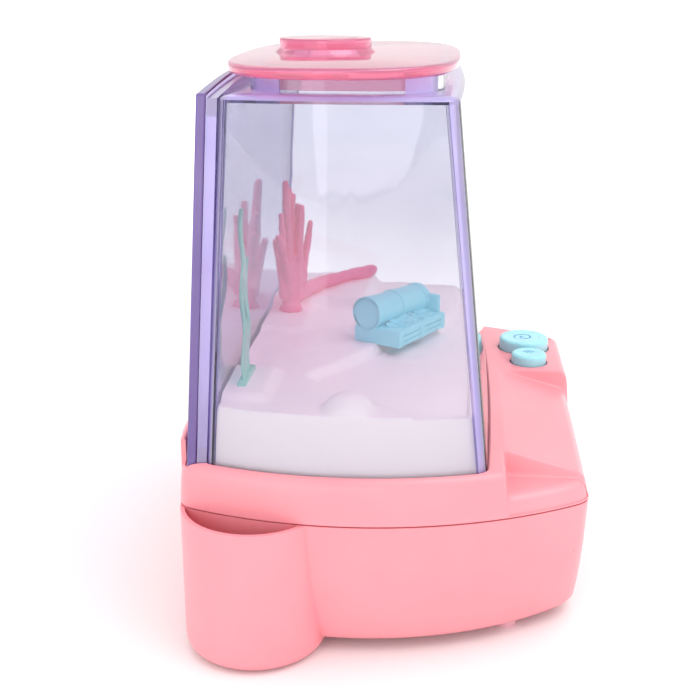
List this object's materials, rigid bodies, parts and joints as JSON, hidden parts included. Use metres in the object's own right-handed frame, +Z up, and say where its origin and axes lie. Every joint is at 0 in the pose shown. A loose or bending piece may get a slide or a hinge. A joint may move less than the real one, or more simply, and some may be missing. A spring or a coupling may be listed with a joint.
{
  "type": "toy aquarium playset",
  "caption": "Toy aquarium display: clear bowed tank with seaweed, coral and treasure chest on a pink push-button base, with a frosted lid, violet rear panel and a side pocket.",
  "frame": {"origin": "middle of the footprint box, on the ground", "axes": "+Z up; -Y is the front with the two buttons; -X is the side with the accessory pocket"},
  "size_m": [0.2194, 0.1613, 0.2203],
  "materials": {
    "pink_abs": "satin moulded ABS",
    "lavender_clear": "polished clear polystyrene, lavender tint",
    "violet_clear": "polished clear polystyrene, violet tint",
    "frosted_pink": "translucent pink with frosted faces",
    "white_pvc": "matt moulded",
    "mint_clear": "translucent mint",
    "rose_clear": "translucent rose",
    "aqua_abs": "satin moulded ABS",
    "steel": "bright plated",
    "circuit_board": "solder-masked laminate",
    "black_nylon": "matt moulded",
    "speaker_metal": "pressed and plated",
    "speaker_paper": "pressed paper",
    "ferrite": "sintered ferrite",
    "opal_lens": "opal moulded",
    "cell_can": "plain labelled can",
    "foot_rubber": "soft moulded",
    "wire_sleeve": "PVC sleeve"
  },
  "bodies": {
    "base": {"lower_shell": "pink_abs", "upper_deck": "pink_abs", "tank_body": "lavender_clear", "back_panel": "violet_clear", "scenery_tray": "white_pvc", "seaweed": "mint_clear", "coral": "rose_clear", "treasure_chest": "aqua_abs", "big_button_spring": "steel", "small_button_spring": "steel", "contact_springs": "steel", "contact_plates": "steel", "button_board_screws": "steel", "main_board_screws": "steel", "speaker_screws": "steel", "case_screws": "steel", "button_board": "circuit_board", "main_board": "circuit_board", "light_board": "circuit_board", "big_switch": "black_nylon", "small_switch": "black_nylon", "sound_chip": "black_nylon", "power_switch_body": "black_nylon", "speaker_basket": "speaker_metal", "speaker_cone": "speaker_paper", "speaker_magnet": "ferrite", "light_lens": "opal_lens", "led": "opal_lens", "battery_cell_1": "cell_can", "battery_cell_2": "cell_can", "battery_cell_3": "cell_can", "rubber_feet": "foot_rubber", "battery_lead": "wire_sleeve", "speaker_lead": "wire_sleeve", "button_lead": "wire_sleeve", "light_lead": "wire_sleeve"},
    "battery_cover": {"battery_door": "pink_abs", "battery_door_screws": "steel"},
    "lid": {"tank_lid": "frosted_pink"},
    "big_button": {"big_button": "aqua_abs"},
    "small_button": {"small_button": "aqua_abs"},
    "power_slider": {"power_switch_slider": "black_nylon"}
  },
  "joints": [
    {"name": "lid_lift", "type": "slide", "parent": "base", "child": "lid", "axis": [0, 0, 1], "range_m": [0, 0.06]},
    {"name": "big_button_press", "type": "slide", "parent": "base", "child": "big_button", "axis": [0, 0, -1], "range_m": [0, 0.0025], "stiffness_N_per_m": 300, "springref_m": -0.001, "deforming": ["big_button_spring"]},
    {"name": "small_button_press", "type": "slide", "parent": "base", "child": "small_button", "axis": [0, 0, -1], "range_m": [0, 0.0025], "stiffness_N_per_m": 300, "springref_m": -0.001, "deforming": ["small_button_spring"]},
    {"name": "battery_door_drop", "type": "slide", "parent": "base", "child": "battery_cover", "axis": [0, 0, -1], "range_m": [0, 0.012]},
    {"name": "power_switch_slide", "type": "slide", "parent": "base", "child": "power_slider", "axis": [1, 0, 0], "range_m": [0, 0.004]}
  ]
}
